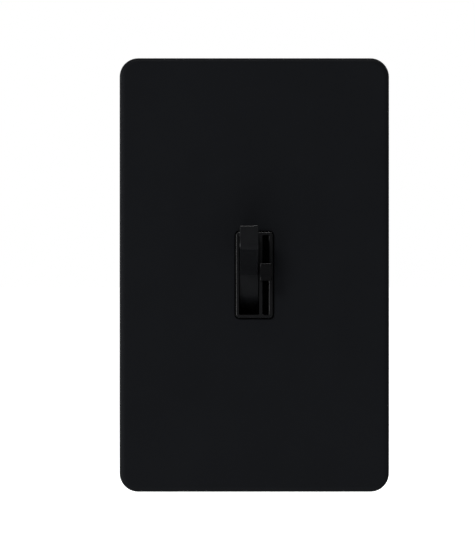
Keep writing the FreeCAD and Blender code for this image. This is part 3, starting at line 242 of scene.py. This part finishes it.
# ---- finishes -----------------------------------------------------------------------------------
def moulded(name, colour, roughness, specular, grain_depth, grain=0.28 * MM, gloss_range=0.05):
    """Moulded plastic: a fine spark-eroded grain, slightly uneven colour, gloss and flatness."""
    mat = plain(name, colour, roughness, specular=specular)
    vary_colour(mat, noise(mat, grain=14 * MM), shade(colour, 0.96), shade(colour, 1.04))
    vary_roughness(mat, noise(mat, grain=5 * MM), roughness - gloss_range, roughness + gloss_range)
    emboss(mat, noise(mat, grain=22 * MM, detail=1.0), depth=0.05 * MM, strength=0.12)
    emboss(mat, noise(mat, grain=grain, detail=3.0), depth=grain_depth)
    return mat


def metal(name, colour, roughness, brushed=None):
    """Bare or plated metal: cloudy colour, uneven gloss and either brushing or fine pitting."""
    mat = plain(name, colour, roughness, metallic=1.0)
    vary_colour(mat, noise(mat, grain=3 * MM, detail=4.0), shade(colour, 0.86), shade(colour, 1.04))
    if brushed:
        streaks = noise(mat, grain=0.25 * MM, detail=3.0, stretch=brushed)
        vary_roughness(mat, streaks, roughness - 0.08, roughness + 0.1)
        emboss(mat, noise(mat, grain=0.25 * MM, detail=2.0, stretch=brushed), depth=0.004 * MM)
    else:
        vary_roughness(mat, noise(mat, grain=0.8 * MM, detail=4.0), roughness - 0.07, roughness + 0.09)
        emboss(mat, noise(mat, grain=0.16 * MM, detail=2.0), depth=0.0025 * MM)
    return mat


def lacquered(name, colour, roughness, waviness=0.03 * MM):
    """Dipped or printed lacquer: glossy, a little wavy, with an uneven tint."""
    mat = plain(name, colour, roughness, coat=0.5, coat_roughness=0.08)
    vary_colour(mat, noise(mat, grain=1.6 * MM, detail=3.0), shade(colour, 0.8), shade(colour, 1.08))
    vary_roughness(mat, noise(mat, grain=0.7 * MM), roughness - 0.05, roughness + 0.08)
    emboss(mat, noise(mat, grain=1.2 * MM), depth=waviness, strength=0.6)
    return mat


def yellow_zinc(name):
    """Zinc plating with a faint passivated tint that drifts between straw and blue."""
    mat = metal(name, colour=(0.63, 0.62, 0.58), roughness=0.34)
    vary_colour(mat, noise(mat, grain=1.8 * MM), dark=(0.52, 0.53, 0.54), light=(0.70, 0.66, 0.56))
    return mat


def fibre(name):
    """Pressed fibre, its layers lying flat."""
    mat = plain(name, colour=(0.42, 0.27, 0.13), roughness=0.85, specular=0.2)
    layers = noise(mat, grain=0.5 * MM, detail=5.0, stretch=(1.0, 1.0, 0.3))
    vary_colour(mat, layers, dark=(0.30, 0.18, 0.08), light=(0.52, 0.36, 0.19))
    emboss(mat, noise(mat, grain=0.2 * MM, detail=4.0, stretch=(1.0, 1.0, 0.3)), depth=0.02 * MM)
    return mat


def phenolic(name):
    """Brown laminated paper board, streaked along its length."""
    mat = plain(name, colour=(0.12, 0.08, 0.05), roughness=0.55)
    streaks = noise(mat, grain=0.6 * MM, detail=4.0, stretch=(0.2, 1.0, 1.0))
    vary_colour(mat, streaks, dark=(0.07, 0.045, 0.03), light=(0.16, 0.10, 0.06))
    emboss(mat, noise(mat, grain=0.3 * MM), depth=0.006 * MM)
    return mat


def solder_mask(name):
    """Dark green mask over fibreglass, through which the weave shows faintly."""
    mat = plain(name, colour=(0.003, 0.014, 0.007), roughness=0.4, specular=0.1)
    weave = cells(mat, size=0.9 * MM)
    vary_colour(mat, weave, (0.002, 0.010, 0.005), (0.004, 0.018, 0.009), source_low=0.1, source_high=0.6)
    emboss(mat, cells(mat, size=0.6 * MM), depth=0.008 * MM)
    vary_roughness(mat, noise(mat, grain=2 * MM), low=0.22, high=0.38)
    return mat


def silicone(name):
    """Soft grey pad with a faintly pebbled face."""
    mat = plain(name, colour=(0.5, 0.5, 0.52), roughness=0.8, specular=0.3)
    clouds = noise(mat, grain=0.4 * MM, detail=4.0)
    vary_colour(mat, clouds, dark=(0.42, 0.42, 0.44), light=(0.56, 0.56, 0.58))
    emboss(mat, cells(mat, size=0.35 * MM), depth=0.01 * MM)
    return mat


def painted_core(name):
    """Iron powder core under a thick, uneven yellow paint."""
    mat = plain(name, colour=(0.75, 0.6, 0.05), roughness=0.45)
    clouds = noise(mat, grain=1.0 * MM, detail=3.0)
    vary_colour(mat, clouds, dark=(0.66, 0.50, 0.03), light=(0.80, 0.66, 0.08))
    emboss(mat, noise(mat, grain=0.35 * MM, detail=3.0), depth=0.02 * MM)
    return mat


def foil(name):
    """A blank aluminium foil label: rolled grain and a soft sheen."""
    return metal(name, colour=(0.74, 0.75, 0.76), roughness=0.42, brushed=(0.06, 1.0, 1.0))


# Name of the CAD material, how its finish is made, and with which values.
FINISH_LIST = (
    ("plate_black", moulded, dict(
        colour=(0.0050, 0.0054, 0.0063), roughness=0.5, specular=0.02,
        grain_depth=0.010 * MM, gloss_range=0.02)),
    ("inner_plastic", moulded, dict(
        colour=(0.012, 0.012, 0.013), roughness=0.55, specular=0.35, grain_depth=0.012 * MM, grain=0.4 * MM)),
    ("zinc_steel", yellow_zinc, dict()),
    ("yoke_aluminium", metal, dict(
        colour=(0.74, 0.75, 0.76), roughness=0.36, brushed=(1.0, 1.0, 0.04))),
    ("retainer_fibre", fibre, dict()),
    ("ground_green", metal, dict(colour=(0.03, 0.36, 0.12), roughness=0.3)),
    ("bezel_black", moulded, dict(
        colour=(0.0038, 0.0039, 0.0042), roughness=0.24, specular=0.21, grain_depth=0.003 * MM)),
    ("toggle_black", moulded, dict(
        colour=(0.0040, 0.0042, 0.0047), roughness=0.22, specular=0.22,
        grain_depth=0.003 * MM, gloss_range=0.02)),
    ("spring_steel", metal, dict(colour=(0.55, 0.55, 0.54), roughness=0.25)),
    ("contact_brass", metal, dict(
        colour=(0.78, 0.57, 0.25), roughness=0.32, brushed=(1.0, 1.0, 0.08))),
    ("contact_silver", metal, dict(colour=(0.86, 0.84, 0.80), roughness=0.2)),
    ("knob_black", moulded, dict(
        colour=(0.0022, 0.0022, 0.0024), roughness=0.34, specular=0.1, grain_depth=0.004 * MM)),
    # carriage_nylon: painted shade. The carriage is coloured almost black, with no gloss, so the slot in
    # front of it reads dark.
    ("carriage_nylon", moulded, dict(
        colour=(0.0015, 0.0015, 0.0015), roughness=0.5, specular=0.0, grain_depth=0.006 * MM)),
    ("track_phenolic", phenolic, dict()),
    ("housing_black", moulded, dict(
        colour=(0.016, 0.016, 0.018), roughness=0.5, specular=0.45,
        grain_depth=0.02 * MM, grain=0.45 * MM, gloss_range=0.08)),
    ("board_green", solder_mask, dict()),
    ("terminal_brass", metal, dict(colour=(0.74, 0.56, 0.27), roughness=0.28)),
    ("pad_grey", silicone, dict()),
    ("tab_tinned", metal, dict(colour=(0.72, 0.72, 0.70), roughness=0.38)),
    ("epoxy_black", moulded, dict(
        colour=(0.02, 0.02, 0.02), roughness=0.6, specular=0.35, grain_depth=0.015 * MM, grain=0.2 * MM)),
    ("core_yellow", painted_core, dict()),
    ("enamelled_wire", lacquered, dict(
        colour=(0.50, 0.16, 0.05), roughness=0.25, waviness=0.005 * MM)),
    ("capacitor_red", lacquered, dict(colour=(0.55, 0.09, 0.04), roughness=0.22)),
    ("capacitor_blue", lacquered, dict(colour=(0.03, 0.10, 0.40), roughness=0.22)),
    ("resistor_tan", lacquered, dict(
        colour=(0.62, 0.50, 0.33), roughness=0.35, waviness=0.01 * MM)),
    ("diac_blue", lacquered, dict(
        colour=(0.10, 0.25, 0.50), roughness=0.2, waviness=0.01 * MM)),
    ("trimmer_blue", lacquered, dict(
        colour=(0.04, 0.15, 0.45), roughness=0.3, waviness=0.006 * MM)),
    ("trimmer_white", moulded, dict(
        colour=(0.78, 0.78, 0.75), roughness=0.45, specular=0.4, grain_depth=0.004 * MM)),
)
FINISHES = {name: make(name, **values) for name, make, values in FINISH_LIST}


def dress_cad_nodes():
    """Gives every CAD node the finish of its own material slot."""
    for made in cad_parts.values():
        for holder in made.material_slots:
            holder.material = FINISHES[holder.material.name.split(".")[0]]


# ---- mesh building blocks -----------------------------------------------------------------------
BOX_FACES = ((0, 1, 3, 2), (4, 5, 7, 6), (0, 1, 5, 4), (2, 3, 7, 6), (0, 2, 6, 4), (1, 3, 7, 5))


def smooth(mesh):
    """Shades a mesh smooth except over its sharp edges."""
    mesh.shade_smooth()
    mesh.set_sharp_from_angle(angle=SMOOTH_ANGLE)


def mesh_object(name, bm, finish):
    """Turns a bmesh into a linked object with a finish."""
    bmesh.ops.remove_doubles(bm, verts=bm.verts, dist=SAME_POINT)
    bmesh.ops.recalc_face_normals(bm, faces=bm.faces)
    mesh = bpy.data.meshes.new(name)
    bm.to_mesh(mesh)
    bm.free()
    smooth(mesh)
    mesh.materials.append(FINISHES[finish])
    made = bpy.data.objects.new(name, mesh)
    bpy.context.scene.collection.objects.link(made)
    return made


def join_rings(bm, rings):
    """Fills the walls between neighbouring rings. A ring of one vertex is a point of the axis."""
    sides = max(len(ring) for ring in rings)
    for lower, upper in zip(rings, rings[1:]):
        for k in range(sides):
            after = (k + 1) % sides
            corners = [lower[k % len(lower)], lower[after % len(lower)]]
            corners += [upper[after % len(upper)], upper[k % len(upper)]]
            distinct = list(dict.fromkeys(corners))
            if len(distinct) > 2:
                bm.faces.new(distinct)


def lathe(bm, stations, place, sides=SCREW_SIDES):
    """Joins (height, radius at an angle) stations along the local Z axis, and closes both ends."""
    first = stations[0][0]
    last = stations[-1][0]
    rings = [[bm.verts.new(place @ Vector((0, 0, first)))]]
    for height, radius_at in stations:
        ring = []
        for k in range(sides):
            angle = 2 * math.pi * k / sides
            radius = radius_at(angle)
            point = Vector((radius * math.cos(angle), radius * math.sin(angle), height))
            ring.append(bm.verts.new(place @ point))
        rings.append(ring)
    rings.append([bm.verts.new(place @ Vector((0, 0, last)))])
    join_rings(bm, rings)


def add_box(bm, place, low, high):
    xs, ys, zs = zip(low, high)
    verts = [bm.verts.new(place @ Vector((x, y, z))) for z in zs for y in ys for x in xs]
    for face in BOX_FACES:
        bm.faces.new([verts[k] for k in face])


def carved(name, body, cutters, finish):
    """Cuts the solids of each cutter out of the body, as one piece."""
    piece = mesh_object(name, body, finish)
    tools = [mesh_object(name + "_tool", cutter, finish) for cutter in cutters]
    for tool in tools:
        cut = piece.modifiers.new("slots", "BOOLEAN")
        cut.solver = "EXACT"
        cut.object = tool
    evaluated = piece.evaluated_get(bpy.context.evaluated_depsgraph_get())
    shape = bpy.data.meshes.new_from_object(evaluated)
    piece.modifiers.clear()
    piece.data = shape
    smooth(shape)
    for tool in tools:
        bpy.data.objects.remove(tool)
    return piece


# ---- screws -------------------------------------------------------------------------------------
def at_radius(radius, height):
    return height, lambda angle: radius


def at_hexagon(flat_r, corner_r, height):
    """A hexagonal station, its corners cut back to a circle."""
    def radius_at(angle):
        from_flat = (angle + math.pi / 6) % (math.pi / 3) - math.pi / 6
        return min(corner_r, flat_r / math.cos(from_flat))
    return height, radius_at


def at_thread(radius, height, depth):
    """A station whose groove turns once round for each pitch of height, flat at its root and crest."""
    def radius_at(angle):
        turn = (height / PITCH - angle / (2 * math.pi)) % 1.0
        from_root = abs(2.0 * turn - 1.0)
        groove = (THREAD_CREST_AT - from_root) / (THREAD_CREST_AT - THREAD_ROOT_AT)
        return radius - depth * min(1.0, max(0.0, groove))
    return height, radius_at


def thread(radius, start, end):
    """A threaded length, whose groove starts and ends with no depth."""
    rows = math.ceil((end - start) / PITCH * THREAD_ROWS)
    stations = []
    for k in range(rows + 1):
        height = start + (end - start) * k / rows
        from_end = min(height - start, end - height)
        stations.append(at_thread(radius, height, THREAD_DEPTH * min(1.0, from_end / PITCH)))
    return stations


def rounded_top(radius, rounding, steps=7):
    """The flat top of a head and the quarter round down to its side."""
    stations = []
    for k in range(steps + 1):
        turn = math.pi / 2 * k / steps
        across = radius - rounding + rounding * math.sin(turn)
        stations.append(at_radius(across, rounding * (1 - math.cos(turn))))
    return stations


def screw_end(radius, end):
    """The tapered start of the thread at a screw's tip."""
    return [at_radius(radius, end - radius / 2), at_radius(radius / 2, end)]


def screw_place(top, direction):
    """The screw's own frame: Z goes in, and Y is upright."""
    turn = Vector(direction).to_track_quat("Z", "Y").to_matrix().to_4x4()
    return Matrix.Translation(top) @ turn


def screws(name, node_name, places, stations, slots, finish="zinc_steel"):
    """Threaded screws in place of a CAD node. Each slot is (half length, half width, depth)."""
    body = bmesh.new()
    for place in places:
        lathe(body, stations, place)
    cutters = []
    for half_x, half_y, depth in slots:
        cutter = bmesh.new()
        for place in places:
            add_box(cutter, place, (-half_x, -half_y, -SLOT_OVERRUN), (half_x, half_y, depth))
        cutters.append(cutter)
    piece = carved(name, body, cutters, finish)
    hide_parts(node_name)
    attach(piece, "root")


def mounting_screws():
    low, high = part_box("mounting_screws")
    middles = (low.z + TRUSS_R, high.z - TRUSS_R)
    places = [screw_place((0.0, low.y, z), (0, 1, 0)) for z in middles]
    end = high.y - low.y
    stations = rounded_top(TRUSS_R, TRUSS_ROUND) + [at_radius(TRUSS_R, TRUSS_H)]
    stations += [at_radius(NECK_R, TRUSS_H), at_radius(NECK_R, NECK_END)]
    stations += thread(SCREW_R, NECK_END + EDGE_BREAK, end - SCREW_R / 2) + screw_end(SCREW_R, end)
    slots = [(TRUSS_R + SLOT_OVERRUN, SLOT_W / 2, SLOT_DEPTH)]
    screws("mounting_screws_threaded", "mounting_screws", places, stations, slots)


def adapter_screws():
    low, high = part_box("adapter_screws")
    middles = (low.z + COUNTERSUNK_R, high.z - COUNTERSUNK_R)
    places = [screw_place((0.0, low.y, z), (0, 1, 0)) for z in middles]
    end = high.y - low.y
    stations = [at_radius(COUNTERSUNK_R - EDGE_BREAK, 0.0), at_radius(COUNTERSUNK_R, EDGE_BREAK)]
    stations += thread(SCREW_R, COUNTERSUNK_H, end - SCREW_R / 2) + screw_end(SCREW_R, end)
    slots = [(SLOT_W / 2, COUNTERSUNK_R + SLOT_OVERRUN, COUNTERSUNK_SLOT)]
    screws("adapter_screws_threaded", "adapter_screws", places, stations, slots)


def ground_screw():
    low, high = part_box("ground_screw")
    middle = (low + high) / 2
    places = [screw_place((high.x, middle.y, middle.z), (-1, 0, 0))]
    end = high.x - low.x
    flange_top = HEX_H - FLANGE_T
    stations = [at_radius(HEX_TOP_R, 0.0), at_hexagon(HEX_FLAT_R, HEX_CORNER_R, HEX_TOP_CUT)]
    stations += [at_hexagon(HEX_FLAT_R, HEX_CORNER_R, flange_top)]
    stations += [at_radius(FLANGE_R - EDGE_BREAK, flange_top), at_radius(FLANGE_R, flange_top + EDGE_BREAK)]
    stations += [at_radius(FLANGE_R, HEX_H), at_radius(SCREW_R, HEX_H)]
    stations += thread(SCREW_R, HEX_H + EDGE_BREAK, end - SCREW_R / 2) + screw_end(SCREW_R, end)
    slots = [(FLANGE_R + SLOT_OVERRUN, SLOT_W / 2, SLOT_DEPTH)]
    screws("ground_screw_threaded", "ground_screw", places, stations, slots, "ground_green")


def terminal_screws():
    low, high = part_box("terminal_screws")
    y = (low.y + high.y) / 2
    upper = high.z - BINDING_R
    lower = low.z + BINDING_R
    heads = ((low.x, upper, 1), (low.x, lower, 1), (high.x, lower, -1))
    places = [screw_place((x, y, z), (inward, 0, 0)) for x, z, inward in heads]
    stations = rounded_top(BINDING_R, BINDING_ROUND) + [at_radius(BINDING_R, BINDING_H)]
    stations += thread(SCREW_R, BINDING_H, BINDING_END - SCREW_R / 2) + screw_end(SCREW_R, BINDING_END)
    slots = [(BINDING_R + SLOT_OVERRUN, SLOT_W / 2, SLOT_DEPTH), (SLOT_W / 2, BINDING_R / 2, SLOT_DEPTH)]
    screws("terminal_screws_threaded", "terminal_screws", places, stations, slots, "terminal_brass")


def housing_screws():
    low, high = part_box("housing_screws")
    columns = (low.x + PAN_R, high.x - PAN_R)
    rows = (low.z + PAN_R, high.z - PAN_R)
    places = [screw_place((x, high.y, z), (0, -1, 0)) for x in columns for z in rows]
    end = high.y - low.y
    stations = rounded_top(PAN_R, PAN_ROUND) + [at_radius(PAN_R, PAN_H), at_radius(PAN_SHANK_R, PAN_H)]
    stations += thread(PAN_SHANK_R, end - PAN_THREAD_L, end - PAN_SHANK_R / 2) + screw_end(PAN_SHANK_R, end)
    slots = [(PAN_R + SLOT_OVERRUN, PAN_SLOT_W / 2, PAN_H / 2)]
    screws("housing_screws_threaded", "housing_screws", places, stations, slots)


# ---- label --------------------------------------------------------------------------------------
def foil_label():
    """A blank foil label in the recess of the housing's back, its rim pressed down a little."""
    low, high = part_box("back_housing")
    middle = (low + high) / 2
    floor = high.y - LABEL_RECESS
    bm = bmesh.new()
    rings = []
    for inset, rise in ((0.0, 0.0), (0.0, LABEL_RIM_T), (LABEL_RIM_W, LABEL_T), (LABEL_MARGIN, LABEL_T)):
        outline = rounded_rectangle(LABEL_SIZE[0] / 2 - inset, LABEL_SIZE[1] / 2 - inset, LABEL_CORNER)
        rings.append([bm.verts.new((middle.x + x, floor + rise, middle.z + z)) for x, z in outline])
    join_rings(bm, rings)
    bm.faces.new(rings[0])
    bm.faces.new(rings[-1])
    label = mesh_object("foil_label", bm, "yoke_aluminium")
    label.data.materials[0] = foil("label_foil")
    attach(label, "root")


def rounded_rectangle(half_x, half_z, corner, steps=6):
    points = []
    for quarter, (side_x, side_z) in enumerate(((1, 1), (-1, 1), (-1, -1), (1, -1))):
        for k in range(steps + 1):
            turn = math.pi / 2 * (quarter + k / steps)
            x = side_x * (half_x - corner) + corner * math.cos(turn)
            points.append((x, side_z * (half_z - corner) + corner * math.sin(turn)))
    return points


def main():
    dress_cad_nodes()
    mounting_screws()
    adapter_screws()
    ground_screw()
    terminal_screws()
    housing_screws()
    foil_label()


# ---- stage --------------------------------------------------------------------------------------
def studio_floor():
    """A pale floor that glows a little, shows in no reflection and lets light through from below."""
    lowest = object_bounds()[0].z
    bm = bmesh.new()
    bmesh.ops.create_grid(bm, x_segments=1, y_segments=1, size=FLOOR_SIZE / 2)
    mesh = bpy.data.meshes.new("studio_floor")
    bm.to_mesh(mesh)
    bm.free()
    floor = bpy.data.objects.new("studio_floor", mesh)
    floor.location.z = lowest - FLOOR_DROP
    bpy.context.scene.collection.objects.link(floor)
    mat = plain("studio_floor", FLOOR_COLOUR, FLOOR_ROUGHNESS, specular=FLOOR_SPECULAR)
    shader_of(mat).inputs["Emission Color"].default_value = WHITE
    shader_of(mat).inputs["Emission Strength"].default_value = FLOOR_GLOW
    mesh.materials.append(mat)
    floor.visible_glossy = False
    floor.visible_shadow = False
    floor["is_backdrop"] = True


def studio_world():
    """White to the camera, and a dim even grey to everything else."""
    world = bpy.data.worlds.new("studio")
    world.use_nodes = True
    tree = world.node_tree
    grey = tree.nodes["Background"]
    grey.inputs["Color"].default_value = SKY_LIGHT
    white = tree.nodes.new("ShaderNodeBackground")
    white.inputs["Color"].default_value = WHITE
    path = tree.nodes.new("ShaderNodeLightPath")
    mix = tree.nodes.new("ShaderNodeMixShader")
    tree.links.new(path.outputs["Is Camera Ray"], mix.inputs["Fac"])
    tree.links.new(grey.outputs["Background"], mix.inputs[1])
    tree.links.new(white.outputs["Background"], mix.inputs[2])
    tree.links.new(mix.outputs["Shader"], tree.nodes["World Output"].inputs["Surface"])
    bpy.context.scene.world = world


def area_light(name, place, size, power, diffuse, glossy):
    data = bpy.data.lights.new(name, "AREA")
    data.shape = "RECTANGLE"
    data.size, data.size_y = size
    data.energy = power
    light = bpy.data.objects.new(name, data)
    light.location = place
    light.rotation_euler = (-Vector(place)).to_track_quat("-Z", "Y").to_euler()
    light.visible_diffuse = diffuse
    light.visible_glossy = glossy
    bpy.context.scene.collection.objects.link(light)


def key_light():
    """A broad, even key from the upper left of the camera, which no gloss reflects."""
    data = bpy.data.lights.new("key", "SUN")
    data.energy = KEY_STRENGTH
    data.angle = KEY_SPREAD
    light = bpy.data.objects.new("key", data)
    light.rotation_euler = (-Vector(KEY_FROM)).to_track_quat("-Z", "Y").to_euler()
    light.visible_glossy = False
    bpy.context.scene.collection.objects.link(light)


def camera():
    data = bpy.data.cameras.new("camera")
    data.lens = LENS
    data.sensor_width = SENSOR
    data.clip_start = CLIP_NEAR
    data.clip_end = CLIP_FAR
    eye = bpy.data.objects.new("camera", data)
    plate_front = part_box("wall_plate")[0].y
    eye.location = (VIEW_LEFT, plate_front - VIEW_DISTANCE, VIEW_DOWN)
    eye.rotation_euler = (math.pi / 2, 0.0, 0.0)
    bpy.context.scene.collection.objects.link(eye)
    bpy.context.scene.camera = eye


main()
studio_floor()
studio_world()
key_light()
for area in AREA_LIGHTS:
    area_light(*area)
camera()
bpy.context.scene.view_settings.view_transform = "Standard"
